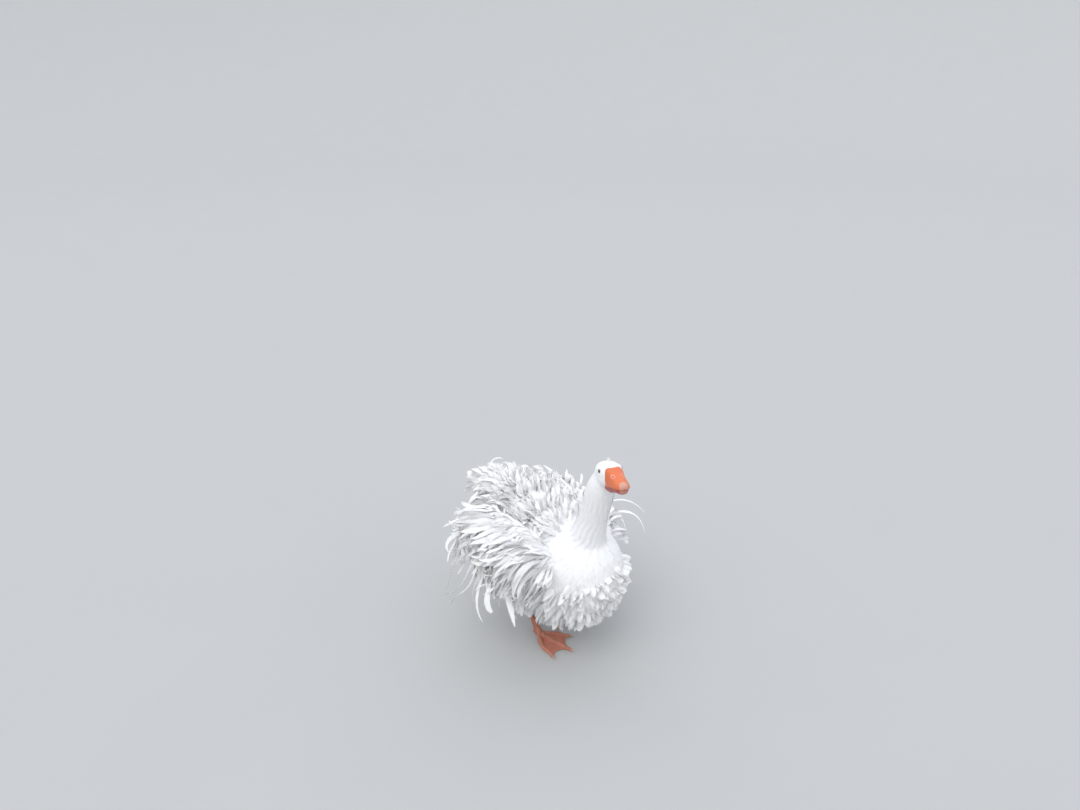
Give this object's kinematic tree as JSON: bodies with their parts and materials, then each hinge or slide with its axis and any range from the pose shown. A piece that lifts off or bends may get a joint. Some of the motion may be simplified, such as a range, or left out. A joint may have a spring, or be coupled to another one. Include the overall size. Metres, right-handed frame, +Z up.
{
  "type": "sebastopol goose",
  "caption": "Life-size standing goose with long curled white body and wing feathers, smooth neck, orange bill and webbed feet.",
  "frame": {"origin": "on the floor at the centre of the whole goose's box seen from above", "axes": "+Z up; the goose faces -Y; its left side is +X"},
  "size_m": [0.4387, 0.5599, 0.5457],
  "materials": {
    "feather": "soft white plumage with cool grey shade between the feathers",
    "bill": "satin orange skin with a pale pink nail",
    "leg": "scaled terracotta skin, satin",
    "claw": "pale horn, worn at the tips",
    "eye": "dark glossy eye"
  },
  "bodies": {
    "root": {"head": "feather", "neck": "feather", "torso": "feather", "tail": "feather", "wing_left": "feather", "wing_right": "feather", "thigh_left": "feather", "thigh_right": "feather", "bill_upper": "bill", "bill_lower": "bill", "eye_left": "eye", "eye_right": "eye", "shank_left": "leg", "shank_right": "leg", "foot_left": "leg", "foot_right": "leg", "claw_left_outer": "claw", "claw_left_middle": "claw", "claw_left_inner": "claw", "claw_left_hind": "claw", "claw_right_outer": "claw", "claw_right_middle": "claw", "claw_right_inner": "claw", "claw_right_hind": "claw"}
  },
  "joints": []
}
